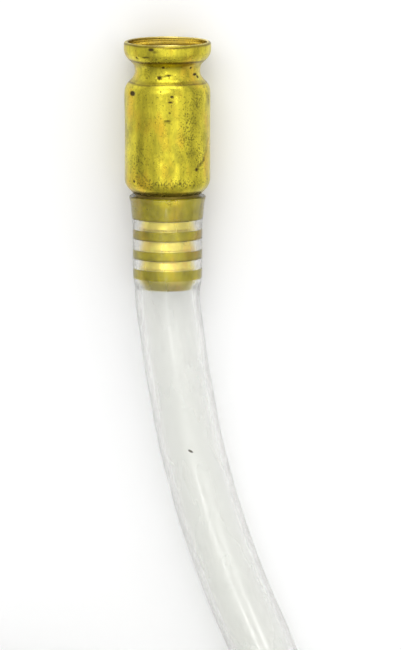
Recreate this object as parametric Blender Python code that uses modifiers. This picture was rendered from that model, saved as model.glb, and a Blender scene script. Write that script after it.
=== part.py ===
"""Self-priming siphon: a brass check-valve head on the end of a clear vinyl hose.

The head lies on its side along Y, its mouth towards +Y, and the hose leaves it towards -Y,
bends over to +X and ends in a tied coil. Everything lies on z = 0. Metres, +Z up; the origin
is under the middle of the head. A station is a distance along the head's axis from its mouth.
"""

import math

import bmesh
import bpy
from mathutils import Matrix, Vector

OBJECT_NAME = "self_priming_siphon"
GAP = 0.0003  # between pieces that touch on the real object
SIDES = 40  # facets round a turned piece

# Head shell, one drawn brass tube
HEAD_LENGTH = 0.0617
WALL = 0.0010
LIP_R = 0.01085
LIP_EDGE = 0.0004
LIP_END = 0.0024
NECK_R = 0.0081
NECK_TOP = 0.0070
NECK_END = 0.0078
BEAD_R = 0.0107
BEAD_TOP = 0.0122
BEAD_END = 0.0137
CHAMBER_R = 0.0106
CHAMBER_TOP = 0.0180
SWAGE_START = 0.03434
SWAGE_R = 0.0035
SWAGE_TURN = math.radians(43)
SHELL_END = 0.0379
INSIDE_LAG = 0.0005  # the inner curves of neck and mouth lie this much nearer the chamber

# Barbed tail, a turned brass piece whose collar the swaged shell holds
COLLAR_FACE = 0.0326
STUB_R = 0.0080
STUB_END = 0.0393
STUB_STEP_R = 0.0074
STUB_STEP = 0.0443
GROOVE_R = 0.0064
RIDGE_R = 0.00715
RIDGES = [(0.0467, 0.0494), (0.0518, 0.0543), (0.0566, 0.0585)]
TIP_R = 0.0063
BORE_R = 0.00525

# Cross pin in the collar, and the ball
PIN_R = 0.0010
PIN_STATION = 0.0346
PIN_HALF_LENGTH = 0.0086
BALL_R = 0.0080

# Hose, 1/2 inch bore and 5/8 inch outside
HOSE_R = 0.0080
# Where the hose is stretched over the tail: outer radius and station
SLEEVE = [
    (0.0095, 0.0385),
    (0.0095, 0.0394),
    (0.00905, 0.0423),
    (0.0087, 0.0453),
    (0.00865, 0.0480),
    (0.0086, 0.0580),
    (0.0084, 0.0603),
    (0.0080, 0.0617),
]
# The middle of the hose from the tail's tip to the coil
ROUTE = [
    Vector((0.0000, -0.0312, 0.01085)),
    Vector((0.0000, -0.0334, 0.01085)),
    Vector((0.0007, -0.0392, 0.0107)),
    Vector((0.0020, -0.0490, 0.0102)),
    Vector((0.0037, -0.0590, 0.0094)),
    Vector((0.0055, -0.0690, 0.0087)),
    Vector((0.0080, -0.0790, 0.0083)),
    Vector((0.0108, -0.0890, 0.0082)),
    Vector((0.0142, -0.0990, 0.0082)),
    Vector((0.0180, -0.1090, 0.0082)),
    Vector((0.0223, -0.1190, 0.0083)),
    Vector((0.0262, -0.1290, 0.0086)),
    Vector((0.0291, -0.1390, 0.0090)),
    Vector((0.0306, -0.1490, 0.0094)),
    Vector((0.0310, -0.1580, 0.0095)),
    Vector((0.0310, -0.1624, 0.0095)),
]
TUBE_STEP = 0.012

# Coil: the hose joins it along its +X side, running towards -Y
COIL_R = 0.076
COIL_LAYERS = 4
COIL_EAST = 0.0310
COIL_CENTRE_Y = -0.21215
COIL_BASE = 0.0015
COIL_SIDES = 72

# Ties round the coil's section, at these angles about its centre
TIE_ANGLES = [math.radians(-20), math.radians(-122)]
TIE_THICK = 0.0012
TIE_WIDTH = 0.0048
TIE_CORNER = 0.0003
TIE_HEAD = (0.0045, 0.0065)  # how far it stands out, and its height

BRASS = ((0.62, 0.50, 0.08), 0.32, 1.0)
DULL_BRASS = ((0.55, 0.43, 0.10), 0.40, 1.0)
MARBLE_GLASS = ((0.55, 0.72, 0.62), 0.05, 0.0)
CLEAR_VINYL = ((0.86, 0.87, 0.86), 0.18, 0.0)
NYLON = ((0.90, 0.89, 0.84), 0.45, 0.0)


def new_collection(name):
    collection = bpy.data.collections.new(name)
    bpy.context.scene.collection.children.link(collection)
    return collection


def clear_scene():
    for obj in list(bpy.data.objects):
        bpy.data.objects.remove(obj)


def add_object(name, data, collection):
    obj = bpy.data.objects.new(name, data)
    collection.objects.link(obj)
    return obj


def paint(obj, look):
    colour, roughness, metallic = look
    material = bpy.data.materials.new(obj.name)
    material.use_nodes = True
    shader = material.node_tree.nodes["Principled BSDF"]
    shader.inputs["Base Color"].default_value = (*colour, 1.0)
    shader.inputs["Roughness"].default_value = roughness
    shader.inputs["Metallic"].default_value = metallic
    obj.data.materials.append(material)


def axial(station):
    """The local height, on the head's axis, of a station."""
    return HEAD_LENGTH / 2 - station


def blend(start, end, steps):
    """Points of an S-curve between two (radius, station) points, without the first."""
    points = []
    for i in range(1, steps + 1):
        t = i / steps
        ease = (1 - math.cos(math.pi * t)) / 2
        radius = start[0] + (end[0] - start[0]) * ease
        points.append((radius, start[1] + (end[1] - start[1]) * t))
    return points


def swage(inset, steps):
    """The swaged shoulder's round, set in from the outer skin, from the chamber down."""
    reach = SWAGE_R - inset
    points = []
    for i in range(steps + 1):
        angle = SWAGE_TURN * i / steps
        radius = CHAMBER_R - SWAGE_R + reach * math.cos(angle)
        points.append((radius, SWAGE_START + reach * math.sin(angle)))
    return points


def cone_end(points, radius):
    """Where the shoulder's cone, running on from the round's last point, meets a radius."""
    last_radius, last_station = points[-1]
    return (radius, last_station + (last_radius - radius) / math.tan(SWAGE_TURN))


def shell_inner():
    """The shell's inner profile from the swaged end up to the mouth."""
    rounding = swage(WALL, 3)
    throat = STUB_R + GAP
    profile = [(throat, SHELL_END), cone_end(rounding, throat)]
    profile += reversed(rounding)
    profile.append((CHAMBER_R - WALL, BEAD_END - INSIDE_LAG))
    seat = (NECK_R - WALL, NECK_END + INSIDE_LAG)
    profile += blend(profile[-1], seat, 7)
    profile.append((NECK_R - WALL, NECK_TOP - INSIDE_LAG))
    profile += blend(profile[-1], (LIP_R - WALL, LIP_END - INSIDE_LAG), 6)
    profile.append((LIP_R - WALL, LIP_EDGE))
    profile.append((LIP_R - WALL + LIP_EDGE / 2, 0.0))
    return profile


def shell_outer():
    """The shell's outer profile from the mouth down to the swaged end."""
    profile = [(LIP_R - LIP_EDGE / 2, 0.0), (LIP_R, LIP_EDGE), (LIP_R, LIP_END)]
    profile += blend(profile[-1], (NECK_R, NECK_TOP), 7)
    profile.append((NECK_R, NECK_END))
    profile += blend(profile[-1], (BEAD_R, BEAD_TOP), 7)
    profile.append((BEAD_R, BEAD_END))
    profile.append((CHAMBER_R, CHAMBER_TOP))
    profile += swage(0.0, 5)
    cone_r = profile[-1][0] - (SHELL_END - profile[-1][1]) * math.tan(SWAGE_TURN)
    profile.append((cone_r, SHELL_END))
    return profile


def tail_outer():
    """The tail's outer profile from the collar's face down to the tip."""
    rounding = swage(WALL + GAP, 3)
    profile = [(rounding[0][0], COLLAR_FACE)]
    profile += rounding
    profile.append(cone_end(rounding, STUB_R))
    profile += [(STUB_R, STUB_END), (STUB_STEP_R, STUB_STEP), (GROOVE_R, STUB_STEP)]
    for top, end in RIDGES:
        profile += [(GROOVE_R, top), (RIDGE_R, top), (RIDGE_R, end)]
        if end != RIDGES[-1][1]:
            profile.append((GROOVE_R, end))
    profile.append((TIP_R, HEAD_LENGTH))
    return profile


def sleeve_inner():
    """The bore of the stretched hose from the tail's tip up to its end."""
    return [
        (TIP_R + GAP, HEAD_LENGTH),
        (RIDGE_R + GAP, RIDGES[-1][1]),
        (RIDGE_R + GAP, RIDGES[0][0]),
        (STUB_STEP_R + GAP, STUB_STEP),
        (STUB_R + GAP, STUB_END),
        (STUB_R + GAP, SLEEVE[0][1]),
    ]


def turned(name, profile, collection, axis, look):
    """A solid of revolution from a closed (radius, station) profile, outer side first."""
    mesh = bpy.data.meshes.new(name)
    vertices = [(radius, 0.0, axial(station)) for radius, station in profile]
    edges = [(i, (i + 1) % len(profile)) for i in range(len(profile))]
    mesh.from_pydata(vertices, edges, [])
    obj = add_object(name, mesh, collection)
    obj.parent = axis
    screw = obj.modifiers.new("Turn", "SCREW")
    screw.axis = "Z"
    screw.steps = SIDES
    screw.render_steps = SIDES
    screw.use_merge_vertices = True
    screw.merge_threshold = 0.00001
    screw.use_smooth_shade = True
    paint(obj, look)
    return obj


def rod(name, radius, length, collection, sides):
    """A closed cylinder along its own Z."""
    mesh = bpy.data.meshes.new(name)
    bm = bmesh.new()
    bmesh.ops.create_cone(
        bm, cap_ends=True, segments=sides, radius1=radius, radius2=radius, depth=length
    )
    bm.to_mesh(mesh)
    bm.free()
    mesh.shade_smooth()
    mesh.set_sharp_from_angle(angle=math.radians(35))
    return add_object(name, mesh, collection)


def across(obj, station, axis):
    """Puts a rod across the head's axis at a station, along X."""
    obj.parent = axis
    obj.location = (0.0, 0.0, axial(station))
    obj.rotation_euler = (0.0, math.pi / 2, 0.0)


def make_shell(collection, axis):
    turned("head_shell", shell_outer() + shell_inner(), collection, axis, BRASS)


def make_tail(collection, cutters, axis):
    profile = tail_outer() + [(BORE_R, HEAD_LENGTH), (BORE_R, COLLAR_FACE)]
    tail = turned("barbed_tail", profile, collection, axis, DULL_BRASS)
    drill = rod("pin_drill", PIN_R + GAP, 4 * PIN_HALF_LENGTH, cutters, 16)
    across(drill, PIN_STATION, axis)
    drill.hide_render = True
    drill.display_type = "WIRE"
    cut = tail.modifiers.new("Pin hole", "BOOLEAN")
    cut.operation = "DIFFERENCE"
    cut.solver = "EXACT"
    cut.object = drill


def make_pin(collection, axis):
    pin = rod("ball_stop_pin", PIN_R, 2 * PIN_HALF_LENGTH, collection, 16)
    across(pin, PIN_STATION, axis)
    paint(pin, DULL_BRASS)


def ball_drop():
    """How far below the head's axis the ball's centre is when it lies in the chamber."""
    return CHAMBER_R - WALL - GAP - BALL_R


def ball_rest_station():
    """The station of the ball's centre when it lies against the cross pin."""
    reach = BALL_R + PIN_R + GAP
    return PIN_STATION - math.sqrt(reach**2 - ball_drop() ** 2)


def make_ball(collection, axis_height):
    mesh = bpy.data.meshes.new("check_ball")
    bm = bmesh.new()
    bmesh.ops.create_uvsphere(bm, u_segments=24, v_segments=16, radius=BALL_R)
    bm.to_mesh(mesh)
    bm.free()
    mesh.shade_smooth()
    ball = add_object("check_ball", mesh, collection)
    ball.location = (0.0, axial(ball_rest_station()), axis_height - ball_drop())
    paint(ball, MARBLE_GLASS)


def make_sleeve(collection, axis):
    turned("hose_end_sleeve", SLEEVE + sleeve_inner(), collection, axis, CLEAR_VINYL)


def smooth_line(points, step):
    """Points about a step apart on a Catmull-Rom curve through the given points."""
    padded = [2 * points[0] - points[1], *points, 2 * points[-1] - points[-2]]
    fine = []
    for a, b, c, d in zip(padded, padded[1:], padded[2:], padded[3:], strict=False):
        for i in range(8):
            t = i / 8
            fine.append(
                b
                + (c - a) * (t / 2)
                + (2 * a - 5 * b + 4 * c - d) * (t**2 / 2)
                + (3 * b - a - 3 * c + d) * (t**3 / 2)
            )
    fine.append(points[-1])
    total = sum((b - a).length for a, b in zip(fine, fine[1:], strict=False))
    spans = round(total / step)
    line = [fine[0]]
    run = 0.0
    for a, b in zip(fine, fine[1:], strict=False):
        piece = (b - a).length
        while len(line) < spans and run + piece >= total * len(line) / spans:
            line.append(a.lerp(b, (total * len(line) / spans - run) / piece))
        run += piece
    line.append(fine[-1])
    return line


def make_run(collection):
    line = [ROUTE[0], *smooth_line(ROUTE[1:], TUBE_STEP)]
    curve = bpy.data.curves.new("hose_run", "CURVE")
    curve.dimensions = "3D"
    curve.bevel_depth = HOSE_R
    curve.bevel_resolution = 4
    curve.use_fill_caps = True
    spline = curve.splines.new("POLY")
    spline.points.add(len(line) - 1)
    for point, place in zip(spline.points, line, strict=True):
        point.co = (*place, 1.0)
    paint(add_object("hose_run", curve, collection), CLEAR_VINYL)


def flat_outline(name, loops, thickness, collection):
    """A plate from closed 2D outlines, the first outside and the others its holes."""
    curve = bpy.data.curves.new(name, "CURVE")
    curve.dimensions = "2D"
    curve.fill_mode = "BOTH"
    curve.extrude = thickness / 2
    for loop in loops:
        spline = curve.splines.new("POLY")
        spline.points.add(len(loop) - 1)
        spline.use_cyclic_u = True
        for point, (x, y) in zip(spline.points, loop, strict=True):
            point.co = (x, y, 0.0, 1.0)
    return add_object(name, curve, collection)


def circle_arc(radius, start, end, steps):
    angles = [start + (end - start) * i / steps for i in range(steps + 1)]
    return [(radius * math.cos(a), radius * math.sin(a)) for a in angles]


def coil_centre():
    return Vector((COIL_EAST - COIL_R, COIL_CENTRE_Y, 0.0))


def make_coil(collection):
    """The coil's outer shape: a ring with one corner squared off where the hose runs in."""
    outer_r = COIL_R + HOSE_R
    inner_r = COIL_R - HOSE_R
    corner = math.acos(inner_r / outer_r)
    outside = circle_arc(outer_r, corner, 2 * math.pi, COIL_SIDES)
    outside.append((outer_r, outer_r * math.sin(corner)))
    inside = circle_arc(inner_r, 0.0, 2 * math.pi, COIL_SIDES)[:-1]
    height = 2 * HOSE_R * COIL_LAYERS
    coil = flat_outline("hose_coil", [outside, inside], height, collection)
    coil.location = coil_centre() + Vector((0.0, 0.0, COIL_BASE + height / 2))
    paint(coil, CLEAR_VINYL)


def rounded_box(half_wide, half_high, corner, steps):
    points = []
    for k in range(4):
        middle = (
            (half_wide - corner) * (1, -1, -1, 1)[k],
            (half_high - corner) * (1, 1, -1, -1)[k],
        )
        start = k * math.pi / 2
        for x, y in circle_arc(corner, start, start + math.pi / 2, steps):
            points.append((middle[0] + x, middle[1] + y))
    return points


def make_ties(collection):
    """Straps round the coil, each with its head on the coil's inner side."""
    half_wide = HOSE_R + GAP
    half_high = HOSE_R * COIL_LAYERS + GAP
    inside = rounded_box(half_wide, half_high, TIE_CORNER, 3)
    outside = rounded_box(
        half_wide + TIE_THICK, half_high + TIE_THICK, TIE_CORNER + TIE_THICK, 3
    )
    stand, head_high = TIE_HEAD
    face = -half_wide - TIE_THICK
    head = [
        (face, head_high / 2),
        (face - stand, head_high / 2),
        (face - stand, -head_high / 2),
        (face, -head_high / 2),
    ]
    outside = outside[: len(outside) // 2] + head + outside[len(outside) // 2 :]
    for i, angle in enumerate(TIE_ANGLES, start=1):
        tie = flat_outline(f"coil_tie_{i}", [outside, inside], TIE_WIDTH, collection)
        middle = Vector((math.cos(angle), math.sin(angle), 0.0)) * COIL_R
        height = Vector((0.0, 0.0, COIL_BASE + HOSE_R * COIL_LAYERS))
        turn = Matrix.Rotation(angle, 4, "Z") @ Matrix.Rotation(math.pi / 2, 4, "X")
        tie.matrix_world = Matrix.Translation(coil_centre() + middle + height) @ turn
        paint(tie, NYLON)


def main():
    clear_scene()
    parts = new_collection(OBJECT_NAME)
    cutters = new_collection("cutters")
    axis = add_object("head_axis", None, parts)
    axis.location = (0.0, 0.0, LIP_R)
    axis.rotation_euler = (-math.pi / 2, 0.0, 0.0)
    make_shell(parts, axis)
    make_tail(parts, cutters, axis)
    make_pin(parts, axis)
    make_ball(parts, LIP_R)
    make_sleeve(parts, axis)
    make_run(parts)
    make_coil(parts)
    make_ties(parts)


main()
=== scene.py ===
"""The looks of the self-priming siphon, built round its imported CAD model. Metres, +Z up.

The brass head lies along Y with its mouth towards +Y. A station is a distance along its axis
from the mouth, and an angle round the axis is 0 at the top and grows towards +X.
"""

import math

import bmesh
import bpy
import numpy as np
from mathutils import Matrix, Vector


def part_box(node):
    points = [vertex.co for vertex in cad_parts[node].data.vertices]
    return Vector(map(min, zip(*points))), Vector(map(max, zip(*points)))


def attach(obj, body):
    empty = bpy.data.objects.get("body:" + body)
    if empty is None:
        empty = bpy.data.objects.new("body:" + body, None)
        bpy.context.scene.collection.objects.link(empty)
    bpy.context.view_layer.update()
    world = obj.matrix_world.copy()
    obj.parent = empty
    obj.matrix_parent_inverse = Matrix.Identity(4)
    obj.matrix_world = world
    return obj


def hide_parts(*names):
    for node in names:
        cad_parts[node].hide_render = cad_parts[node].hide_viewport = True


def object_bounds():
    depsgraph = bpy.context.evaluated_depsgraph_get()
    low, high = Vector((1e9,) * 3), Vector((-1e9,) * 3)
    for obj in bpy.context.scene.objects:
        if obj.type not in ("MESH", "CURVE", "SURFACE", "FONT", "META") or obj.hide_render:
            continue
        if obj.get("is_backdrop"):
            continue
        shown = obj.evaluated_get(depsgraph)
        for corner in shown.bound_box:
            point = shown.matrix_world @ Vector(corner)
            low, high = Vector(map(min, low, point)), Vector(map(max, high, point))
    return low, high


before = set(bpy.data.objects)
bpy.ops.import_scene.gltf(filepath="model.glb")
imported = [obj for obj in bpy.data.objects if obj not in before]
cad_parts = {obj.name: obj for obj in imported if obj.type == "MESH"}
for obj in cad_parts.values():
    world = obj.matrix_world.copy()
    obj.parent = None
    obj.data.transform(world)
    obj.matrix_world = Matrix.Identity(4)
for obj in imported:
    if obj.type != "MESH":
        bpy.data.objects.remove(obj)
cad_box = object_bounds()

MM = 0.001
SHELL_LOW, SHELL_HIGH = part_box("head_shell")
MOUTH_Y = SHELL_HIGH[1]
AXIS_Z = (SHELL_LOW[2] + SHELL_HIGH[2]) / 2
rng = np.random.default_rng(7)


# ---------------------------------------------------------------- shared helpers


def spline(points, step):
    """Points about a step apart on the natural cubic spline through the given points."""
    points = np.array(points, float)
    spans = np.linalg.norm(np.diff(points, axis=0), axis=1)
    t = np.concatenate([[0.0], np.cumsum(spans)])
    n = len(t)
    a = np.eye(n)
    b = np.zeros_like(points)
    for i in range(1, n - 1):
        h0, h1 = spans[i - 1], spans[i]
        a[i, i - 1 : i + 2] = h0, 2 * (h0 + h1), h1
        b[i] = 6 * ((points[i + 1] - points[i]) / h1 - (points[i] - points[i - 1]) / h0)
    bend = np.linalg.solve(a, b)
    at = np.linspace(0, t[-1], max(2, round(t[-1] / step) + 1))
    k = np.clip(np.searchsorted(t, at, side="right") - 1, 0, n - 2)
    u = (at - t[k])[:, None]
    v = (t[k + 1] - at)[:, None]
    h = spans[k][:, None]
    curved = (bend[k] * v**3 + bend[k + 1] * u**3) / (6 * h)
    start = (points[k] / h - bend[k] * h / 6) * v
    return curved + start + (points[k + 1] / h - bend[k + 1] * h / 6) * u


def arc(centre, radius, start, end, steps):
    """(radius, station) points of an arc; its angles are in degrees from the outward side."""
    angles = np.radians(np.linspace(start, end, steps + 1))
    return [(centre[0] + radius * math.cos(a), centre[1] + radius * math.sin(a)) for a in angles]


def along(points, step):
    """Straight runs between (radius, station) points, with points about a step apart."""
    out = [points[0]]
    for a, b in zip(points, points[1:]):
        parts = max(1, round(math.dist(a, b) / step))
        for i in range(1, parts + 1):
            out.append((a[0] + (b[0] - a[0]) * i / parts, a[1] + (b[1] - a[1]) * i / parts))
    return out


def mesh_object(name, vertices, faces, smooth_angle=40):
    mesh = bpy.data.meshes.new(name)
    mesh.from_pydata([tuple(v) for v in vertices], [], [tuple(f) for f in faces])
    bm = bmesh.new()
    bm.from_mesh(mesh)
    bmesh.ops.recalc_face_normals(bm, faces=bm.faces)
    bm.to_mesh(mesh)
    bm.free()
    mesh.shade_smooth()
    mesh.set_sharp_from_angle(angle=math.radians(smooth_angle))
    obj = bpy.data.objects.new(name, mesh)
    bpy.context.scene.collection.objects.link(obj)
    return obj


def grid_faces(rows, columns, closed_rows):
    """Quads of a grid of points whose columns close round, and its rows too if asked."""
    i = np.arange(rows if closed_rows else rows - 1)[:, None]
    k = np.arange(columns)[None, :]
    i2 = (i + 1) % rows
    k2 = (k + 1) % columns
    corners = [i * columns + k, i2 * columns + k, i2 * columns + k2, i * columns + k2]
    return np.stack([np.broadcast_to(c, (len(i), columns)) for c in corners], -1).reshape(-1, 4)


def lathe(name, profile, sides, dent=None, smooth_angle=40):
    """A turned piece on the head's axis from a closed (radius, station) profile."""
    profile = np.array(profile, float)
    angle = np.linspace(0, 2 * math.pi, sides, endpoint=False)[None, :]
    radius = np.repeat(profile[:, :1], sides, axis=1)
    station = np.repeat(profile[:, 1:], sides, axis=1)
    if dent is not None:
        radius = radius - dent(angle, station, radius)
    x = radius * np.sin(angle)
    y = MOUTH_Y - station
    z = AXIS_Z + radius * np.cos(angle)
    vertices = np.stack([x, y, z], -1).reshape(-1, 3)
    return mesh_object(name, vertices, grid_faces(len(profile), sides, True), smooth_angle)


def set_attribute(obj, name, values):
    """Give each point of a mesh its value, for the materials to read."""
    obj.data.attributes.new(name, "FLOAT", "POINT").data.foreach_set("value", values)


class Nodes:
    """A short way to build the nodes of a tree."""

    def __init__(self, tree):
        self.tree = tree

    def link(self, source, target):
        self.tree.links.new(source, target)

    def new(self, kind, **props):
        node = self.tree.nodes.new(kind)
        for key, value in props.items():
            setattr(node, key, value)
        return node

    def math(self, operation, a, b=0.0, clamp=False):
        node = self.new("ShaderNodeMath", operation=operation, use_clamp=clamp)
        for socket, value in zip(node.inputs, (a, b)):
            if isinstance(value, (int, float)):
                socket.default_value = value
            else:
                self.link(value, socket)
        return node.outputs[0]

    def noise(self, vector, scale, detail=3.0, stretch=(1, 1, 1), roughness=0.5):
        shape = self.new("ShaderNodeMapping")
        shape.inputs["Scale"].default_value = stretch
        self.link(vector, shape.inputs["Vector"])
        node = self.new("ShaderNodeTexNoise")
        node.inputs["Scale"].default_value = scale
        node.inputs["Detail"].default_value = detail
        node.inputs["Roughness"].default_value = roughness
        self.link(shape.outputs[0], node.inputs["Vector"])
        return node.outputs["Fac"]

    def ramp(self, value, stops):
        node = self.new("ShaderNodeValToRGB")
        elements = node.color_ramp.elements
        while len(elements) < len(stops):
            elements.new(0.5)
        for element, (at, colour) in zip(elements, stops):
            element.position = at
            element.color = (*colour, 1.0) if isinstance(colour, tuple) else (colour,) * 3 + (1.0,)
        self.link(value, node.inputs[0])
        return node.outputs[0]

    def mix(self, factor, a, b):
        node = self.new("ShaderNodeMix", data_type="RGBA")
        for socket, value in ((node.inputs[0], factor), (node.inputs[6], a), (node.inputs[7], b)):
            if isinstance(value, tuple):
                socket.default_value = (*value, 1.0)
            elif isinstance(value, (int, float)):
                socket.default_value = value
            else:
                self.link(value, socket)
        return node.outputs[2]


class Surface(Nodes):
    """The nodes of a new material."""

    def __init__(self, name):
        self.material = bpy.data.materials.new(name)
        self.material.use_nodes = True
        super().__init__(self.material.node_tree)
        self.shader = self.tree.nodes["Principled BSDF"]
        self.output = self.tree.nodes["Material Output"]

    def set(self, **values):
        for key, value in values.items():
            self.shader.inputs[key.replace("_", " ")].default_value = value

    def place(self):
        """Positions in metres, in the piece's own frame."""
        return self.new("ShaderNodeTexCoord").outputs["Object"]

    def attribute(self, name):
        return self.new("ShaderNodeAttribute", attribute_name=name).outputs["Fac"]

    def bump(self, height, strength, distance, normal=None):
        node = self.new("ShaderNodeBump")
        node.inputs["Strength"].default_value = strength
        node.inputs["Distance"].default_value = distance
        self.link(height, node.inputs["Height"])
        if normal is not None:
            self.link(normal, node.inputs["Normal"])
        return node.outputs[0]


def finish_piece(obj, body, slot, material, *replaced):
    obj.data.materials.append(material)
    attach(obj, body)
    if replaced:
        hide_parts(*replaced)


# ---------------------------------------------------------------- camera

VIEW_TILT = math.radians(8.3)  # the camera leans towards the mouth
VIEW_HEIGHT = 161.8 * MM
VIEW_CENTRE = Vector((8.2 * MM, -40.25 * MM, AXIS_Z))
LENS = 600.0


def make_camera():
    data = bpy.data.cameras.new("camera")
    data.lens = LENS
    data.sensor_width = 36.0
    away = VIEW_HEIGHT * LENS / data.sensor_width
    data.clip_start = away * 0.05
    data.clip_end = away * 50
    camera = bpy.data.objects.new("camera", data)
    bpy.context.scene.collection.objects.link(camera)
    back = Vector((0.0, math.sin(VIEW_TILT), math.cos(VIEW_TILT)))
    camera.location = VIEW_CENTRE + back * away
    camera.rotation_euler = (-VIEW_TILT, 0.0, 0.0)
    bpy.context.scene.camera = camera


# ---------------------------------------------------------------- hose

HOSE_LENGTH = 1.83
HOSE_D = 16.0 * MM
HOSE_SIDES = 64
SLEEVE_STEP = 0.25 * MM
FREE_STEP = 1.2 * MM
COIL_STEP = 3.2 * MM
HOSE_START = 38.5 * MM  # the station of the hose's end on the tail
TAIL_TIP = 61.7 * MM
# (station, outer radius, bore radius) where the hose is stretched over the tail
STRETCH = [
    (38.50, 9.20, 8.05),
    (38.62, 9.46, 7.96),
    (38.90, 9.52, 7.96),
    (39.40, 9.45, 7.94),
    (40.30, 9.17, 7.84),
    (42.30, 9.02, 7.60),
    (44.30, 8.82, 7.36),
    (45.30, 8.70, 7.20),
    (46.50, 8.66, 7.11),
    (49.40, 8.67, 7.11),
    (50.60, 8.62, 7.11),
    (51.80, 8.65, 7.11),
    (54.20, 8.66, 7.11),
    (55.40, 8.59, 7.11),
    (56.60, 8.62, 7.11),
    (58.30, 8.60, 7.11),
    (58.90, 8.56, 7.11),
    (59.70, 8.47, 7.07),
    (60.40, 8.36, 6.92),
    (61.30, 8.20, 6.64),
    (62.30, 8.05, 6.40),
    (63.30, 8.00, 6.35),
]
# The middle of the hose from the tail's tip to the coil, as in part.py
ROUTE = [
    (0.0000, -0.0312, 0.01085),
    (0.0000, -0.0334, 0.01085),
    (0.0007, -0.0392, 0.0107),
    (0.0020, -0.0490, 0.0102),
    (0.0037, -0.0590, 0.0094),
    (0.0055, -0.0690, 0.0087),
    (0.0080, -0.0790, 0.0083),
    (0.0108, -0.0890, 0.0082),
    (0.0142, -0.0990, 0.0082),
    (0.0180, -0.1090, 0.0082),
    (0.0223, -0.1190, 0.0083),
    (0.0262, -0.1290, 0.0086),
    (0.0291, -0.1390, 0.0090),
    (0.0306, -0.1490, 0.0094),
    (0.0310, -0.1580, 0.0095),
    (0.0310, -0.1624, 0.0095),
]
COIL_R = 76.0 * MM
COIL_CENTRE = (0.0310 - COIL_R, -0.21215)
COIL_FLOOR = 9.5 * MM  # the middle of the lowest turn
RISE = (0.66, 0.92)  # the part of each turn in which the hose climbs onto the turn below
# The slow ripple of the hose's skin and bore away from the tail: (seed, size, wave lengths)
SKIN_RIPPLE = (3, 0.010 * MM, (31 * MM, 53 * MM, 90 * MM))
BORE_RIPPLE = (5, 0.008 * MM, (23 * MM, 47 * MM, 110 * MM))
RIPPLE_START = 24 * MM  # from the hose's end
RIPPLE_GROWS = 12 * MM
FREE_END_ROUNDING = (0.25 * MM, 0.2 * MM)  # of its outer and inner edges


def coil_points(length):
    """The coil's turns, clockwise from its +X side, each lying on the one below."""
    steps = math.ceil(length / COIL_STEP)
    out = []
    for i in range(1, steps + 1):
        turns = length * i / steps / (2 * math.pi * COIL_R)
        whole = math.floor(turns)
        rise = min(1.0, max(0.0, (turns - whole - RISE[0]) / (RISE[1] - RISE[0])))
        layer = whole + (1 - math.cos(math.pi * rise)) / 2
        angle = 2 * math.pi * turns
        x = COIL_CENTRE[0] + COIL_R * math.cos(angle)
        y = COIL_CENTRE[1] - COIL_R * math.sin(angle)
        out.append((x, y, COIL_FLOOR + HOSE_D * layer))
    return out


def hose_line():
    """The middle of the whole hose, from its end on the tail to its free end."""
    start = [(0.0, MOUTH_Y - s, AXIS_Z) for s in np.arange(HOSE_START, TAIL_TIP, SLEEVE_STEP)]
    last = ROUTE[-1]
    lead_in = [(last[0], y, last[2]) for y in np.linspace(last[1], COIL_CENTRE[1], 6)[1:]]
    free = spline(ROUTE + lead_in, FREE_STEP).tolist()
    line = np.array(start + free)
    used = np.linalg.norm(np.diff(line, axis=0), axis=1).sum()
    return np.vstack([line, coil_points(HOSE_LENGTH - used)])


def carried_frames(line):
    """Two directions across the line at each point, carried along it without twist."""
    ahead = np.gradient(line, axis=0)
    ahead /= np.linalg.norm(ahead, axis=1)[:, None]
    side = np.zeros_like(line)
    side[0] = (1.0, 0.0, 0.0)
    for i in range(1, len(line)):
        across = side[i - 1] - ahead[i] * (side[i - 1] @ ahead[i])
        side[i] = across / np.linalg.norm(across)
    return side, np.cross(ahead, side)


def waves(distance, angle, seed, size, lengths):
    """A smooth random ripple of a hose's wall, in metres."""
    draw = np.random.default_rng(seed)
    out = np.zeros(np.broadcast_shapes(distance.shape, angle.shape))
    for length in lengths:
        for lobes in (0, 1, 2, 3):
            a, b = draw.uniform(0, 2 * math.pi, 2)
            out += np.sin(distance * 2 * math.pi / length + a) * np.cos(lobes * angle + b)
    return out * size / (4 * len(lengths)) ** 0.5


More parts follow.
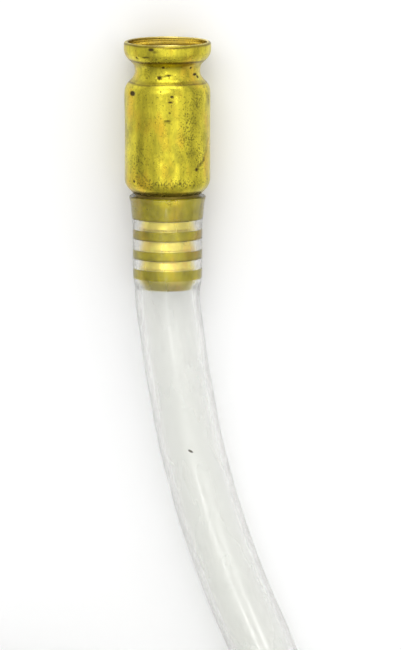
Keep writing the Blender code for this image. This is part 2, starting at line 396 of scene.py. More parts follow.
def make_hose(material):
    line = hose_line()
    steps = np.linalg.norm(np.diff(line, axis=0), axis=1)
    distance = np.concatenate([[0.0], np.cumsum(steps)])
    table = np.array(STRETCH) * MM
    outer = np.interp(distance + HOSE_START, table[:, 0], table[:, 1])
    bore = np.interp(distance + HOSE_START, table[:, 0], table[:, 2])
    soft = np.array([1, 2, 3, 2, 1]) / 9
    outer[3:-2] = np.convolve(outer, soft, "same")[3:-2]
    outer[-1] -= FREE_END_ROUNDING[0]
    bore[-1] += FREE_END_ROUNDING[1]
    angle = np.linspace(0, 2 * math.pi, HOSE_SIDES, endpoint=False)[None, :]
    side, up = carried_frames(line)
    reach = distance[:, None]
    loose = np.clip((reach - RIPPLE_START) / RIPPLE_GROWS, 0, 1)
    rings = []
    for radius, ripple in ((outer, SKIN_RIPPLE), (bore, BORE_RIPPLE)):
        radius = radius[:, None] + loose * waves(reach, angle, *ripple)
        radius = np.broadcast_to(radius, (len(line), HOSE_SIDES))
        ring = side[:, None] * (radius * np.cos(angle))[..., None]
        ring = ring + up[:, None] * (radius * np.sin(angle))[..., None]
        rings.append(line[:, None] + ring)
    loop = np.concatenate([rings[0], rings[1][::-1]])
    faces = grid_faces(len(loop), HOSE_SIDES, True)
    hose = mesh_object("hose", loop.reshape(-1, 3), faces, 50)
    # each point's distance from the hose's end, angle round it, and side of the wall
    set_attribute(hose, "run", np.repeat(np.concatenate([distance, distance[::-1]]), HOSE_SIDES))
    set_attribute(hose, "around", np.tile(angle[0], len(loop)))
    set_attribute(hose, "bore", np.repeat([0.0, 1.0], len(line) * HOSE_SIDES))
    nodes = ("hose_end_sleeve", "hose_run", "hose_coil")
    finish_piece(hose, "siphon", "clear_vinyl", material, *nodes)
    return hose, line


VINYL = (0.969, 0.972, 0.953)
VINYL_IOR = 1.53
VINYL_SHADOW = (0.90, 0.905, 0.89, 1.0)  # what a shadow ray keeps, instead of a caustic
SHADOW_SHARE = 0.9
# A fleck of dirt on the hose: its middle, its long, cross and upward directions, and half sizes
FLECK_PLACE = (5.72 * MM, -71.15 * MM, 16.3 * MM)
FLECK_SIDES = [(0.87, -0.49, 0.0), (0.49, 0.87, 0.0), (0.0, 0.0, 1.0)]
FLECK_HALF = (0.72 * MM, 0.27 * MM, 1.0 * MM)
FLECK_COLOUR = (0.02, 0.015, 0.01)


def fleck_mask(n):
    """1 inside the small dark fleck on the hose, and 0 outside it."""
    out = 0.0
    for direction, half in zip(FLECK_SIDES, FLECK_HALF):
        away = n.new("ShaderNodeVectorMath", operation="SUBTRACT")
        n.link(n.place(), away.inputs[0])
        away.inputs[1].default_value = FLECK_PLACE
        dot = n.new("ShaderNodeVectorMath", operation="DOT_PRODUCT")
        n.link(away.outputs[0], dot.inputs[0])
        dot.inputs[1].default_value = direction
        share = n.math("DIVIDE", dot.outputs["Value"], half)
        out = n.math("ADD", n.math("POWER", share, 2.0), out)
    return n.math("LESS_THAN", out, 1.0)


def vinyl_material():
    """Clear over the tail and a little hazy beyond it, with soft lines along the hose."""
    n = Surface("clear_vinyl")
    n.set(IOR=VINYL_IOR)
    n.link(n.mix(fleck_mask(n), VINYL, FLECK_COLOUR), n.shader.inputs["Base Color"])
    decimetres = n.math("MULTIPLY", n.attribute("run"), 10.0)
    clear = n.ramp(decimetres, [(0.21, 1.0), (0.27, 0.945)])
    n.link(clear, n.shader.inputs["Transmission Weight"])
    along_hose = n.new("ShaderNodeCombineXYZ")
    for axis, turn in enumerate(("SINE", "COSINE")):
        across = n.math(turn, n.attribute("around"))
        n.link(n.math("MULTIPLY", across, HOSE_D / 2), along_hose.inputs[axis])
    n.link(n.attribute("run"), along_hose.inputs[2])
    lines = n.noise(along_hose.outputs[0], 900, 2.0, (1, 1, 0.02))
    cloud = n.noise(along_hose.outputs[0], 120, 3.0, (1, 1, 0.35))
    skin = n.ramp(cloud, [(0.3, 0.14), (0.7, 0.22)])
    bore = n.ramp(cloud, [(0.3, 0.22), (0.7, 0.32)])
    n.link(n.mix(n.attribute("bore"), skin, bore), n.shader.inputs["Roughness"])
    n.link(n.bump(lines, 0.02, 0.03 * MM), n.shader.inputs["Normal"])
    through = n.new("ShaderNodeBsdfTransparent")
    through.inputs["Color"].default_value = VINYL_SHADOW
    shadow_ray = n.new("ShaderNodeLightPath").outputs["Is Shadow Ray"]
    share = n.math("MULTIPLY", shadow_ray, SHADOW_SHARE)
    mix = n.new("ShaderNodeMixShader")
    n.link(share, mix.inputs[0])
    n.link(n.shader.outputs[0], mix.inputs[1])
    n.link(through.outputs[0], mix.inputs[2])
    n.link(mix.outputs[0], n.output.inputs["Surface"])
    return n.material


# ---------------------------------------------------------------- brass head

SHELL_SIDES = 288
SHELL_STEP = 0.24 * MM
# The shell's skin from under the lip to the swaged shoulder: (radius, station)
SHELL_SKIN = [
    (10.85, 0.60),
    (10.85, 1.60),
    (10.80, 2.40),
    (10.62, 3.05),
    (10.22, 3.75),
    (9.72, 4.35),
    (9.10, 4.95),
    (8.62, 5.45),
    (8.32, 6.00),
    (8.15, 6.70),
    (8.11, 7.40),
    (8.20, 8.05),
    (8.42, 8.60),
    (8.80, 9.15),
    (9.28, 9.65),
    (9.75, 10.15),
    (10.12, 10.65),
    (10.40, 11.20),
    (10.60, 11.90),
    (10.69, 12.80),
    (10.70, 14.00),
    (10.65, 16.50),
    (10.60, 20.00),
    (10.59, 27.00),
    (10.61, 33.50),
]
CHAMBER_R = 10.61
SHOULDER_R = 3.5
SHOULDER_START = 34.2
SHOULDER_TURN = 43  # degrees
SHELL_END = 37.9
SHELL_EDGE = 0.12
SHELL_THROAT = 8.3
# Inside: the radii of the chamber, neck and mouth, and the rounding at the chamber's end
CHAMBER_BORE = 9.6
NECK_BORE = 7.1
MOUTH_BORE = 9.85
INNER_ROUND = 2.5
# and the stations between which it narrows to the neck and widens to the mouth
NARROWS = (13.2, 8.3)
WIDENS = (6.5, 1.9)


def scaled(points):
    return [(r * MM, s * MM) for r, s in points]


def s_curve(start, end, steps):
    """An S-curve between two (radius, station) points, without the first."""
    out = []
    for i in range(1, steps + 1):
        ease = (1 - math.cos(math.pi * i / steps)) / 2
        radius = start[0] + (end[0] - start[0]) * ease
        out.append((radius, start[1] + (end[1] - start[1]) * i / steps))
    return out


def shell_profile():
    """The drawn shell from its rim down the skin to the swaged end and back up inside."""
    lip = arc((10.25, 0.6), 0.6, -90, 0, 7)
    skin = spline(scaled(SHELL_SKIN), SHELL_STEP) / MM
    shoulder = arc((CHAMBER_R - SHOULDER_R, SHOULDER_START), SHOULDER_R, 0, SHOULDER_TURN, 12)
    last = shoulder[-1]
    slope = math.tan(math.radians(SHOULDER_TURN))
    edge_station = SHELL_END - SHELL_EDGE
    edge = (last[0] - (edge_station - last[1]) * slope, edge_station)
    cone = along([last, edge], SHELL_STEP / MM)[1:]
    cone += [(edge[0] - SHELL_EDGE, SHELL_END), (SHELL_THROAT, SHELL_END)]
    round_middle = (CHAMBER_BORE - INNER_ROUND, SHOULDER_START)
    inner_round = arc(round_middle, INNER_ROUND, SHOULDER_TURN, 0, 6)
    throat = (SHELL_THROAT, inner_round[0][1] + (inner_round[0][0] - SHELL_THROAT) / slope)
    inner = [throat, *inner_round, (CHAMBER_BORE, 24.0), (CHAMBER_BORE, NARROWS[0])]
    inner += s_curve(inner[-1], (NECK_BORE, NARROWS[1]), 24) + [(NECK_BORE, WIDENS[0])]
    inner += s_curve(inner[-1], (MOUTH_BORE, WIDENS[1]), 24) + [(MOUTH_BORE, 0.45)]
    bead = arc((10.1, 0.25), 0.25, 180, 270, 4)
    return scaled([*lip, *skin[1:].tolist(), *shoulder, *cone, *inner, *bead])


# Marks on the shell's skin: (angle in degrees, station, half width round, half length, depth,
# darkness). Widths and lengths in millimetres, depth in hundredths of a millimetre.
DINGS = [
    (-22, 0.95, 0.75, 0.42, 9, 0.90),
    (-17, 1.55, 0.80, 0.40, 5, 0.50),
    (-30, 2.95, 1.05, 0.17, 6, 1.00),
    (-46, 3.25, 0.34, 0.26, 4, 0.90),
    (-55, 12.3, 1.05, 0.62, 16, 1.00),
    (-7, 5.6, 0.38, 0.28, 5, 0.95),
    (44, 5.9, 0.36, 0.28, 4, 0.90),
    (-14, 8.15, 0.60, 0.45, 12, 0.85),
    (-8, 7.95, 0.45, 0.30, 4, 0.35),
    (2, 7.65, 0.70, 0.24, 9, 0.90),
    (57, 7.7, 0.85, 0.34, 8, 1.00),
    (64, 8.4, 0.50, 0.34, 6, 0.90),
    (-9, 11.4, 0.28, 0.24, 3, 0.75),
    (6, 12.6, 0.46, 0.30, 4, 1.00),
    (4, 14.0, 0.60, 0.24, 4, 0.90),
    (3, 16.6, 0.30, 0.24, 3, 0.75),
    (0, 18.55, 0.95, 0.17, 5, 0.75),
    (0, 19.05, 0.85, 0.40, 9, 0.35),
    (43, 31.1, 0.50, 0.50, 7, 0.85),
    (-51, 34.1, 0.45, 0.40, 4, 0.85),
    (-46, 33.0, 0.60, 0.24, 4, 0.55),
]
# Soft dark streaks from one place to another: (angle, station, angle, station, half width, shade)
STREAKS = [
    (45, 30.7, 60, 28.6, 0.42, 0.50),
    (60, 28.6, 72, 24.0, 0.50, 0.30),
    (64, 12.0, 74, 15.0, 0.50, 0.35),
    (-8, 33.9, 24, 34.2, 0.22, 0.60),
    (-40, 31.5, -28, 33.6, 0.25, 0.40),
    (120, 20.0, 140, 26.0, 0.60, 0.40),
    (-130, 14.0, -112, 18.0, 0.50, 0.40),
]
# Fields of fine specks: (angle, its spread, station, its spread, density)
SPECK_FIELDS = [
    (44, 12, 14.0, 2.6, 1.0),
    (30, 13, 22.0, 7.5, 0.9),
    (50, 14, 28.0, 5.0, 0.8),
    (-42, 16, 29.5, 4.0, 0.7),
    (0, 70, 34.6, 1.2, 1.0),
    (-10, 30, 8.2, 1.0, 0.6),
    (0, 60, 3.6, 0.8, 0.4),
    (180, 70, 20.0, 12.0, 0.6),
    (100, 30, 12.0, 6.0, 0.6),
    (-110, 30, 24.0, 8.0, 0.6),
]


SEEDED_PITS = 110
# The slight unevenness of the drawn tube: (lobes round it, wave length along it)
UNEVEN = [(2, 40), (3, 23), (5, 17), (7, 12), (9, 9)]
UNEVEN_BY = 0.012 * MM
RESTING_TURN = 0.35  # radians to each side of the underside, which stays round


def shell_marks():
    """Every mark on the shell: the dings named above and some seeded pits."""
    marks = list(DINGS)
    for angle, station, last_angle, last_station, half, shade in STREAKS:
        for part in np.linspace(0, 1, 9):
            at = angle + (last_angle - angle) * part
            down = station + (last_station - station) * part
            marks.append((at + rng.normal(), down + 0.1 * rng.normal(), half, half * 1.2, 2, shade))
    for _ in range(SEEDED_PITS):
        angle, station = rng.uniform(-180, 180), rng.uniform(1.5, 36.0)
        size = rng.uniform(0.12, 0.24)
        length = size * rng.uniform(0.8, 1.5)
        marks.append((angle, station, size, length, 2, rng.uniform(0.15, 0.5)))
    return marks


def turn_from(angle, degrees):
    """The signed turn to each angle from the one in degrees, the shorter way round."""
    return (angle - math.radians(degrees) + math.pi) % (2 * math.pi) - math.pi


def smoothed(near):
    return near * near * (3 - 2 * near)


def speck_density(angle, station):
    """How thickly the fine specks lie at each point of the skin."""
    density = np.zeros(np.broadcast_shapes(angle.shape, station.shape))
    for at_angle, half_turn, at_station, half_long, strength in SPECK_FIELDS:
        far = (turn_from(angle, at_angle) / math.radians(half_turn)) ** 2
        far = far + ((station / MM - at_station) / half_long) ** 2
        density = np.maximum(density, strength * np.exp(-far))
    return density


def spread_marks(angle, station, radius, marks):
    """The dent depth and the darkness that the marks give each point of the skin."""
    depth = np.zeros(np.broadcast_shapes(angle.shape, station.shape))
    dark = np.zeros_like(depth)
    for mark_angle, mark_station, half_round, half_long, sunk, shade in marks:
        across = turn_from(angle, mark_angle) * radius / (half_round * MM)
        length = (station - mark_station * MM) / (half_long * MM)
        far = np.sqrt(across**2 + length**2)
        near = smoothed(np.clip(1.5 - far, 0, 1))
        depth = np.maximum(depth, near * sunk * 0.01 * MM)
        dark = np.maximum(dark, near * shade)
    return depth, dark


def soft_dents(angle, station):
    out = np.zeros(np.broadcast_shapes(angle.shape, station.shape))
    draw = np.random.default_rng(11)
    for lobes, length in UNEVEN:
        a, b = draw.uniform(0, 2 * math.pi, 2)
        out += np.cos(lobes * angle + a) * np.sin(station / MM * 2 * math.pi / length + b)
    return out * UNEVEN_BY


# Dark lines in the shell's creases, partly real dirt and partly painted shade where a crease
# lies in shadow and reflects dark: (station, half width, strength)
CREASE_DIRT_AND_SHADE = [
    (0.34, 0.26, 0.80),
    (2.75, 0.12, 0.22),
    (4.45, 0.36, 0.85),
    (5.30, 0.80, 0.30),
    (9.70, 0.55, 0.35),
    (9.98, 0.22, 0.75),
    (37.45, 0.75, 0.62),
]


def crease_dirt_and_shade_strength(angle, station):
    """How strongly the creases' dirt and painted shade darken each point of the skin, along
    slightly wavy lines.
    """
    out = np.zeros(np.broadcast_shapes(angle.shape, station.shape))
    for at, half, strength in CREASE_DIRT_AND_SHADE:
        wander = at + 0.08 * np.sin(3 * angle + at) + 0.05 * np.sin(7 * angle)
        near = np.clip(1.4 - np.abs(station / MM - wander) / half, 0, 1)
        out = np.maximum(out, smoothed(near) * strength)
    return out


def make_shell(material):
    marks = shell_marks()
    profile = shell_profile()
    throat = (SHELL_THROAT + 0.01) * MM
    shoulder = SHOULDER_START * MM
    outer_points = next(i for i, (r, s) in enumerate(profile) if r < throat and s > shoulder)
    facts = {}

    def dent(angle, station, radius):
        depth, dark = spread_marks(angle, station, radius, marks)
        skin = np.arange(len(profile))[:, None] < outer_points
        facts["mark"] = np.where(skin, dark, 0.0)
        facts["speck"] = np.where(skin, speck_density(angle, station), 0.0)
        # the creases' darkening: partly real dirt, partly painted shade
        facts["crease_dirt_and_shade"] = np.where(skin, crease_dirt_and_shade_strength(angle, station), 0.0)
        facts["inner"] = np.where(skin, 0.0, 1.0)
        resting = np.clip(1.02 - np.abs(angle - math.pi) / RESTING_TURN, 0, 1)
        return np.where(skin, depth + soft_dents(angle, station) * (1 - resting), 0.0)

    shell = lathe("brass_shell", profile, SHELL_SIDES, dent, 60)
    for name, values in facts.items():
        set_attribute(shell, name, np.broadcast_to(values, facts["mark"].shape).ravel())
    finish_piece(shell, "siphon", "brass_shell", material, "head_shell")


# The tail's stations: its collar's face, its stub's end, and the start and end of each ridge
COLLAR_FACE = 32.6
STUB_END = 44.3
RIDGES = [(46.9, 49.35), (52.0, 54.3), (56.75, 58.2)]
RIDGE_R = 7.15
TAIL_BORE = 5.25
TAIL_NECK = 8.0
TAIL_SIDES = 160
TIP_POINTS = [(7.14, 58.5), (7.10, 59.1), (6.96, 59.7), (6.70, 60.4), (6.42, 61.0), (6.24, 61.4)]
# Painted shade on the lower edges of the stub and ridges, which face down into shadow: how dark,
# over what half width and from which radius on; and how far the tip takes the shaded brass of
# the hose's touch, and from which station on
EDGE_PAINTED_SHADE, EDGE_HALF, EDGE_RADIUS = 0.85, 0.16, 6.9
TIP_PAINTED_SHADE, TIP_START = 0.75, 58.0


def tail_profile():
    """The turned tail from its collar's face down to the tip and back up its bore."""
    collar = arc((7.1, 34.34), 2.2, 0, SHOULDER_TURN, 6)
    slope = math.tan(math.radians(SHOULDER_TURN))
    run_in = (TAIL_NECK, collar[-1][1] + (collar[-1][0] - TAIL_NECK) / slope)
    points = [(9.1, COLLAR_FACE), (9.3, COLLAR_FACE + 0.2), *collar, run_in]
    points += [(TAIL_NECK, 39.3), (7.62, 42.3), (7.40, STUB_END - 0.12), (7.28, STUB_END)]
    for top, end in RIDGES:
        groove = points[-1][1]
        points += [(6.30, groove + 0.05), (6.20, groove + 0.35), (6.50, top - 0.75)]
        points += s_curve((6.50, top - 0.75), (7.05, top - 0.05), 6)
        points += [(RIDGE_R, top + 0.08), (RIDGE_R, end - 0.12)]
        if end != RIDGES[-1][1]:
            points.append((7.05, end))
    tip = TAIL_TIP / MM
    points += [*TIP_POINTS, (6.04, tip), (TAIL_BORE + 0.2, tip), (TAIL_BORE, tip - 0.2)]
    points += [(TAIL_BORE, COLLAR_FACE + 0.3), (TAIL_BORE + 0.3, COLLAR_FACE)]
    return scaled(along(points, 0.5))


def make_tail(material):
    profile = tail_profile()
    tail = lathe("brass_tail", profile, TAIL_SIDES, None, 30)
    radius, station = np.array(profile).T / MM
    # Painted shade: the lower edges of the stub and ridges darkened, and the tip given the shaded
    # touched brass
    edge = np.zeros(len(profile))
    for end in (STUB_END, *(end for top, end in RIDGES[:-1])):
        edge = np.maximum(edge, EDGE_PAINTED_SHADE * np.exp(-(((station - end) / EDGE_HALF) ** 2)))
    edge[radius < EDGE_RADIUS] = 0.0
    tip = np.clip((station - TIP_START) / 0.3, 0, 1) * TIP_PAINTED_SHADE
    for name, values in (("edge", edge), ("tip", tip)):
        set_attribute(tail, name, np.repeat(values, TAIL_SIDES))
    finish_piece(tail, "siphon", "brass_tail", material, "barbed_tail")


SHELL_PALE, SHELL_OLIVE = (0.60, 0.52, 0.042), (0.38, 0.335, 0.032)
# Painted reflection: the grooves' brass, brighter than the shell's, for the light they catch under
# the hose
GROOVE_LIT_PALE, GROOVE_LIT_OLIVE = (0.92, 0.77, 0.13), (0.74, 0.61, 0.08)
# Painted shade: the same brass darker where the hose touches it and dulls its reflection
TOUCHED_SHADED_PALE, TOUCHED_SHADED_OLIVE = (0.43, 0.365, 0.014), (0.29, 0.245, 0.010)
# Inside the mouth: brown tarnish, and bright painted reflection for the golden lines in the bowl
INSIDE_DARK, INSIDE_PAINTED_HIGHLIGHT = (0.30, 0.22, 0.05), (1.0, 0.84, 0.26)
SPECK_COLOUR = (0.14, 0.12, 0.02)
# The creases' colour: real dirt and painted shade together
CREASE_DIRT_AND_SHADE_COLOUR = (0.16, 0.11, 0.024)
STAIN_COLOUR = (0.085, 0.060, 0.018)
# Painted shade along the lower edges of the stub and ridges
EDGE_PAINTED_SHADE_COLOUR = (0.09, 0.065, 0.012)
# Painted shade in the gap between the shell's end and the hose's end
GAP_SHADE_COLOUR = (0.16, 0.115, 0.026)


def tinted_brass(n, coordinates, pale, olive):
    """Brass colour in soft patches, with warmer stains and fine streaks along the axis."""
    patch = n.noise(coordinates, 300, 6.0, (1.0, 0.55, 1.0), 0.68)
    colour = n.ramp(patch, [(0.34, olive), (0.50, pale), (0.64, tuple(1.25 * c for c in pale))])
    warm = n.noise(coordinates, 170, 4.0, (1.3, 0.6, 1.0))
    warmth = n.ramp(warm, [(0.52, 0.0), (0.68, 0.6)])
    colour = n.mix(warmth, colour, (pale[0] * 1.18, pale[1] * 0.84, pale[2] * 0.9))
    streak = n.noise(coordinates, 800, 3.0, (1.0, 0.10, 1.0))
    streaks = n.ramp(streak, [(0.36, 0.45), (0.50, 0.0)])
    return n.mix(streaks, colour, olive)


def brass_shell_material():
    """Tarnished and pitted outside, with real dirt and painted shade in its creases, and inside the
    mouth rings of brown tarnish and of bright painted reflection.
    """
    n = Surface("tarnished_brass")
    n.set(Metallic=1.0)
    coordinates = n.place()
    colour = tinted_brass(n, coordinates, SHELL_PALE, SHELL_OLIVE)
    # Rings inside the mouth: brown tarnish between bright rings of painted reflection
    ring = n.noise(coordinates, 1500, 3.0, (0.02, 1, 0.02))
    rings = n.ramp(ring, [(0.42, INSIDE_DARK), (0.58, INSIDE_PAINTED_HIGHLIGHT)])
    colour = n.mix(n.attribute("inner"), colour, rings)
    grain = n.noise(coordinates, 2600, 3.0, (1, 0.8, 1), 0.6)
    dense = n.math("MULTIPLY", n.attribute("speck"), 0.14)
    specks = n.ramp(n.math("ADD", grain, dense), [(0.60, 0.0), (0.70, 0.80)])
    colour = n.mix(specks, colour, SPECK_COLOUR)
    # Painted shade and real dirt in the creases, mixed into the colour
    crease_dirt_and_shade = n.attribute("crease_dirt_and_shade")
    ragged_edge = n.math("ADD", n.noise(coordinates, 700, 4.0), 0.5)
    dirt_and_shade = n.math("MULTIPLY", crease_dirt_and_shade, ragged_edge, clamp=True)
    colour = n.mix(dirt_and_shade, colour, CREASE_DIRT_AND_SHADE_COLOUR)
    edge = n.noise(coordinates, 2600, 3.0)
    ragged = n.math("MULTIPLY", n.attribute("mark"), n.math("ADD", edge, 0.55), clamp=True)
    stain = n.ramp(ragged, [(0.10, 0.0), (0.85, 1.0)])
    colour = n.mix(stain, colour, STAIN_COLOUR)
    n.link(colour, n.shader.inputs["Base Color"])
    wear = n.noise(coordinates, 420, 5.0, (1, 0.6, 1), 0.65)
    rough = n.ramp(wear, [(0.3, 0.20), (0.7, 0.40)])
    rough = n.mix(stain, rough, (0.6, 0.6, 0.6))
    n.link(rough, n.shader.inputs["Roughness"])
    turned = n.noise(coordinates, 900, 3.0, (0.03, 1, 0.03))
    normal = n.bump(turned, 0.10, 0.02 * MM)
    pores = n.noise(coordinates, 1800, 4.0, (1, 1, 1), 0.7)
    normal = n.bump(pores, 0.22, 0.03 * MM, normal)
    swell = n.noise(coordinates, 330, 3.0, (1, 0.6, 1))
    normal = n.bump(swell, 0.5, 0.09 * MM, normal)
    n.link(normal, n.shader.inputs["Normal"])
    return n.material


def brass_tail_material():
    """Painted lit and shaded copies of one brass: bright grooves, with painted reflection where air
    lies under the hose, and olive painted shade on the stub and the ridges, which the hose touches.
    """
    n = Surface("turned_brass")
    n.set(Metallic=1.0)
    coordinates = n.place()
    # Two painted copies of the brass: lit in the grooves, shaded where the hose touches
    bright = tinted_brass(n, coordinates, GROOVE_LIT_PALE, GROOVE_LIT_OLIVE)
    olive = tinted_brass(n, coordinates, TOUCHED_SHADED_PALE, TOUCHED_SHADED_OLIVE)
    split = n.new("ShaderNodeSeparateXYZ")
    n.link(n.place(), split.inputs[0])
    up = n.math("SUBTRACT", split.outputs[2], AXIS_Z)
    squares = n.math("ADD", n.math("POWER", split.outputs[0], 2.0), n.math("POWER", up, 2.0))
    centimetres = n.math("MULTIPLY", n.math("SQRT", squares), 100.0)
    # Where the hose touches (the stub and ridges) the brass takes the painted shade
    touched_shade = n.ramp(centimetres, [(0.695, 0.0), (0.71, 1.0)])
    # The tip takes the painted shade of the hose's touch too
    touched_shade = n.math("MAXIMUM", touched_shade, n.attribute("tip"))
    colour = n.mix(touched_shade, bright, olive)
    # Painted shade along the lower edges of the stub and ridges
    colour = n.mix(n.attribute("edge"), colour, EDGE_PAINTED_SHADE_COLOUR)
    # Painted shade in the gap between the shell's end and the hose's end
    past_hose_end = n.math("SUBTRACT", split.outputs[1], MOUTH_Y - HOSE_START - 0.45 * MM)
    gap_shade = n.ramp(n.math("MULTIPLY", past_hose_end, 1000.0), [(0.0, 0.0), (0.4, 0.92)])
    n.link(n.mix(gap_shade, colour, GAP_SHADE_COLOUR), n.shader.inputs["Base Color"])
    wear = n.noise(coordinates, 500, 4.0, (0.5, 1, 1))
    n.link(n.ramp(wear, [(0.3, 0.26), (0.7, 0.42)]), n.shader.inputs["Roughness"])
    turned = n.noise(coordinates, 2200, 3.0, (0.02, 1, 0.02))
    n.link(n.bump(turned, 0.25, 0.03 * MM), n.shader.inputs["Normal"])
    return n.material


# ---------------------------------------------------------------- ball and pin


BALL_R = 8.0 * MM
BALL_SKIN = BALL_R - 0.02 * MM
GLASS = (0.72, 0.88, 0.80, 1.0)


def make_ball():
    """The glass marble, a little uneven and with its moulding seam."""
    low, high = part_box("check_ball")
    centre = (Vector(low) + Vector(high)) / 2
    bm = bmesh.new()
    bmesh.ops.create_icosphere(bm, subdivisions=5, radius=BALL_R)
    for vertex in bm.verts:
        away = vertex.co.normalized()
        ripple = math.sin(9 * away.x + 4 * away.z) * math.sin(7 * away.y + 1) * 0.012 * MM
        seam = 0.03 * MM * math.exp(-((away.z / 0.02) ** 2))
        vertex.co = away * (BALL_SKIN + ripple - seam) + centre
    mesh = bpy.data.meshes.new("glass_ball")
    bm.to_mesh(mesh)
    bm.free()
    mesh.shade_smooth()
    ball = bpy.data.objects.new("glass_ball", mesh)
    bpy.context.scene.collection.objects.link(ball)
    n = Surface("marble_glass")
    n.set(Base_Color=GLASS, Transmission_Weight=1.0, IOR=1.52)
    scuffs = n.noise(n.place(), 700, 4.0)
    n.link(n.ramp(scuffs, [(0.45, 0.03), (0.75, 0.22)]), n.shader.inputs["Roughness"])
    finish_piece(ball, "ball", "marble_glass", n.material, "check_ball")


PIN_SIDES = 32


def make_pin(material):
    """The cross pin, with chamfered ends."""
    low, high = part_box("ball_stop_pin")
    middle = (Vector(low) + Vector(high)) / 2
    half = (high[0] - low[0]) / 2
    radius = (high[2] - low[2]) / 2
    chamfer = 0.25 * MM
    outline = [(0.0, -half), (radius - chamfer, -half), (radius, -half + chamfer)]
    outline += [(radius, half - chamfer), (radius - chamfer, half), (0.0, half)]
    vertices = []
    for r, x in outline:
        for a in np.linspace(0, 2 * math.pi, PIN_SIDES, endpoint=False):
            vertices.append((middle.x + x, middle.y + r * math.cos(a), middle.z + r * math.sin(a)))
    faces = grid_faces(len(outline), PIN_SIDES, False)
    pin = mesh_object("stop_pin", vertices, faces, 30)
    bm = bmesh.new()
    bm.from_mesh(pin.data)
    bmesh.ops.remove_doubles(bm, verts=bm.verts, dist=0.001 * MM)
    bm.to_mesh(pin.data)
    bm.free()
    finish_piece(pin, "siphon", "brass_tail", material, "ball_stop_pin")


# ---------------------------------------------------------------- cable ties

TIE_LAYERS = 4
STRAP_W = 4.8 * MM
STRAP_T = 1.1 * MM
STRAP_R = HOSE_D / 2 + 0.12 * MM + STRAP_T / 2  # the middle of the strap round the hose
HEAD_Z = 33.5 * MM
HEAD_OUT = 1.45 * MM  # how far the strap stands off at the head
HEAD_SIZE = (4.4 * MM, 5.9 * MM, 6.4 * MM)  # across the strap's face, along its width, upwards
STRAP_END = 12.0 * MM  # of the strap's free end, below the head's middle
STRAP_CURL = 14.0
STRAP_TEETH = 60  # the last points of the strap's line, where its teeth show


def strap_line():
    """The strap's middle as (distance outwards from the hose's middle, height) points."""
    low = COIL_FLOOR
    high = COIL_FLOOR + HOSE_D * (TIE_LAYERS - 1)
    line = [(-STRAP_R, z) for z in np.linspace(HEAD_Z - 2 * MM, low, 40)]
    turn = np.linspace(0, math.pi, 40)[1:]
    line += [(-STRAP_R * math.cos(a), low - STRAP_R * math.sin(a)) for a in turn]
    line += [(STRAP_R, z) for z in np.linspace(low, high, 80)[1:]]
    line += [(STRAP_R * math.cos(a), high + STRAP_R * math.sin(a)) for a in turn]
    for z in np.arange(high - 0.3 * MM, HEAD_Z - STRAP_END, -0.3 * MM):
        near_head = np.clip((high - z) / (high - HEAD_Z - 3 * MM), 0, 1)
        past_head = max(0.0, HEAD_Z - 3 * MM - z)
        away = STRAP_R + HEAD_OUT * smoothed(near_head) + past_head**2 * STRAP_CURL
        line.append((-away, z))
    return np.array(line)


def make_strap(place):
    """The strap: its section with bevelled corners, swept along its line."""
    line = strap_line()
    ahead = np.gradient(line, axis=0)
    ahead /= np.linalg.norm(ahead, axis=1)[:, None]
    out = np.stack([ahead[:, 1], -ahead[:, 0]], -1)
    bevel = 0.22 * MM
    section = []
    for side, turn in ((1, 1), (-1, 1), (-1, -1), (1, -1)):
        corners = [(STRAP_W / 2, STRAP_T / 2 - bevel), (STRAP_W / 2 - bevel, STRAP_T / 2)]
        if side * turn < 0:
            corners.reverse()
        section += [(side * w, turn * t) for w, t in corners]
    vertices = []
    tooth_step = 3
    for i, (middle, normal) in enumerate(zip(line, out)):
        toothed = i > len(line) - STRAP_TEETH
        tooth = 0.16 * MM * (i % tooth_step) / (tooth_step - 1) if toothed else 0.0
        narrow = 1.0 - 0.45 * max(0.0, (i - len(line) + 10) / 10)
        for w, t in section:
            cut = tooth if t < 0 and abs(w) < STRAP_W * 0.46 else 0.0
            spot = middle + normal * (t + cut)
            vertices.append(place(spot[0], w * narrow, spot[1]))
    faces = grid_faces(len(line), len(section), False).tolist()
    last = (len(line) - 1) * len(section)
    faces += [list(range(len(section)))[::-1], [last + k for k in range(len(section))]]
    return vertices, faces


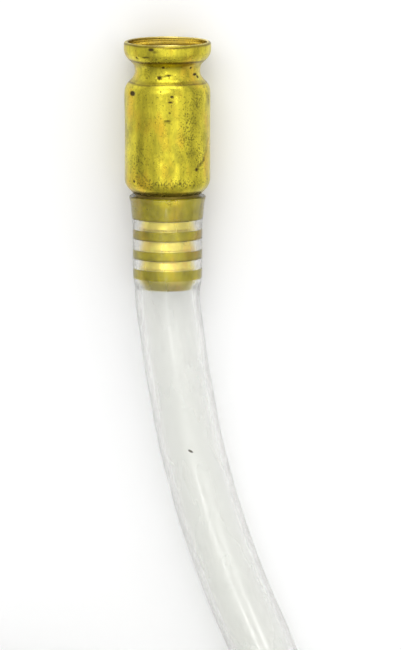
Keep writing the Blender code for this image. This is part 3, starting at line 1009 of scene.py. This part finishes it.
def make_head(place):
    """The head: a short square sleeve that the strap's end runs through, with its pawl."""
    half_t, half_w, half_h = (side / 2 for side in HEAD_SIZE)
    middle = -STRAP_R - HEAD_OUT * 0.95

    def ring(t, w, z, corner):
        points = []
        for side, turn in ((1, 1), (-1, 1), (-1, -1), (1, -1)):
            ends = [(t, w - corner), (t - corner * 0.3, w - corner * 0.3), (t - corner, w)]
            if side * turn < 0:
                ends.reverse()
            points += [(side * a, turn * b, z) for a, b in ends]
        return points

    rise = 0.5 * MM
    slot_t, slot_w = 0.80 * MM, 2.52 * MM
    rings = [
        ring(half_t - rise, half_w - rise, -half_h, rise),
        ring(half_t, half_w, -half_h + rise, rise),
        ring(half_t, half_w, half_h - rise, rise),
        ring(half_t - rise, half_w - rise, half_h, rise),
        ring(slot_t + 0.4 * MM, slot_w + 0.2 * MM, half_h, 0.2 * MM),
        ring(slot_t, slot_w, half_h - 0.8 * MM, 0.2 * MM),
        ring(slot_t, slot_w, -half_h + 0.4 * MM, 0.2 * MM),
        ring(slot_t + 0.2 * MM, slot_w + 0.1 * MM, -half_h, 0.2 * MM),
    ]
    vertices = [place(middle + t, w, HEAD_Z + z) for one in rings for t, w, z in one]
    faces = grid_faces(len(rings), len(rings[0]), True).tolist()
    pawl = [(-0.75, -1.7), (-0.75, 1.9), (-1.75, 1.9), (-1.25, -1.2)]
    first = len(vertices)
    for w in (-1.7 * MM, 1.7 * MM):
        vertices += [place(middle + t * MM, w, HEAD_Z + z * MM) for t, z in pawl]
    for k in range(4):
        after = (k + 1) % 4
        faces.append([first + k, first + after, first + 4 + after, first + 4 + k])
    faces += [[first + k for k in range(4)], [first + 7 - k for k in range(4)]]
    return vertices, faces


def nylon_material():
    n = Surface("natural_nylon")
    n.set(Subsurface_Weight=0.15, Subsurface_Scale=0.001)
    tone = n.noise(n.place(), 220, 4.0)
    colour = n.ramp(tone, [(0.3, (0.72, 0.71, 0.64)), (0.7, (0.82, 0.81, 0.75))])
    n.link(colour, n.shader.inputs["Base Color"])
    n.link(n.ramp(tone, [(0.3, 0.36), (0.7, 0.52)]), n.shader.inputs["Roughness"])
    grain = n.noise(n.place(), 2400, 2.0)
    n.link(n.bump(grain, 0.2, 0.03 * MM), n.shader.inputs["Normal"])
    return n.material


def make_tie(node, material):
    """A cable tie round the coil's turns, at the place of its CAD node."""
    low, high = (Vector(corner[:2]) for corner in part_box(node))
    away = ((low + high) / 2 - Vector(COIL_CENTRE)).normalized()

    def place(out, across, z):
        reach = COIL_R + out
        x = COIL_CENTRE[0] + away.x * reach - away.y * across
        y = COIL_CENTRE[1] + away.y * reach + away.x * across
        return (x, y, z)

    vertices, faces = make_strap(place)
    head_vertices, head_faces = make_head(place)
    faces += [[len(vertices) + k for k in face] for face in head_faces]
    tie = mesh_object(node.replace("coil_tie", "cable_tie"), vertices + head_vertices, faces, 35)
    finish_piece(tie, "siphon", "tie_nylon", material, node)
    return tie


# ---------------------------------------------------------------- floor and light


FLOOR_SIZE = 60.0
FLOOR_GREYS = [(0.3, 0.93), (0.7, 0.95)]


def make_floor():
    bpy.ops.mesh.primitive_plane_add(size=FLOOR_SIZE, location=(0.0, 0.0, 0.0))
    floor = bpy.context.object
    floor.name = "floor"
    n = Surface("pale_floor")
    n.set(Roughness=0.9)
    shade = n.noise(n.place(), 3, 2.0)
    n.link(n.ramp(shade, FLOOR_GREYS), n.shader.inputs["Base Color"])
    floor.data.materials.append(n.material)
    floor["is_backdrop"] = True


# The studio's radiance at rising heights of a direction: (sine of its elevation, grey)
SKY = [(0.0, 0.50), (0.25, 0.68), (0.55, 0.88), (0.85, 1.0), (1.0, 1.02)]
SKY_TO_MOUTH = 0.28  # how much brighter it is on the mouth's side
SKY_TO_RIGHT = 0.18  # and on the right


def make_world():
    world = bpy.data.worlds.new("studio")
    bpy.context.scene.world = world
    world.use_nodes = True
    n = Nodes(world.node_tree)
    background = n.tree.nodes["Background"]
    direction = n.new("ShaderNodeSeparateXYZ")
    n.link(n.new("ShaderNodeTexCoord").outputs["Generated"], direction.inputs[0])
    right, forward, up = direction.outputs
    n.link(n.ramp(up, SKY), background.inputs["Color"])
    extra_forward = n.math("MULTIPLY", forward, SKY_TO_MOUTH)
    extra = n.math("ADD", extra_forward, n.math("MULTIPLY", right, SKY_TO_RIGHT))
    n.link(n.math("ADD", extra, 1.0), background.inputs["Strength"])


def area_light(name, place, target, size, radiance):
    """A rectangular softbox of the given radiance, its second side along Y."""
    data = bpy.data.lights.new(name, "AREA")
    data.shape = "RECTANGLE"
    data.size, data.size_y = size
    data.energy = radiance * math.pi * size[0] * size[1]
    light = bpy.data.objects.new(name, data)
    bpy.context.scene.collection.objects.link(light)
    light.visible_camera = False
    light.location = place
    light.rotation_euler = (Vector(target) - Vector(place)).to_track_quat("-Z", "Y").to_euler()


# Softboxes: name, place, the point they face, size and radiance
LIGHTS = [
    ("key", (-0.25, 0.75, 1.25), (0.0, 0.0, 0.0), (0.9, 0.5), 2.3),
    ("mouth", (0.05, 1.5, 0.50), (0.0, 0.0, 0.0), (1.4, 0.6), 2.4),
    # a soft band down the left of the shell, and the two fine streaks on the free hose
    ("head_strip", (-0.40, -0.10, 1.15), (-0.25, -0.10, 0.0), (0.12, 0.20), 2.4),
    ("low_strip", (-0.08, -0.31, 1.15), (-0.06, -0.25, 0.0), (0.10, 0.12), 6.5),
    ("right_strip", (0.45, -0.05, 1.15), (0.25, -0.07, 0.0), (0.12, 0.22), 5.0),
]


# ---------------------------------------------------------------- the whole

make_camera()
vinyl = vinyl_material()
hose, hose_middle = make_hose(vinyl)
make_shell(brass_shell_material())
tail_brass = brass_tail_material()
make_tail(tail_brass)
make_ball()
make_pin(tail_brass)
nylon = nylon_material()
ties = [make_tie(node, nylon) for node in ("coil_tie_1", "coil_tie_2")]
make_floor()
make_world()
for light in LIGHTS:
    area_light(*light)
bpy.context.scene.view_settings.view_transform = "Standard"

boxes = {"cad": cad_box, "visual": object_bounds()}
{name: [list(corner) for corner in box] for name, box in boxes.items()}
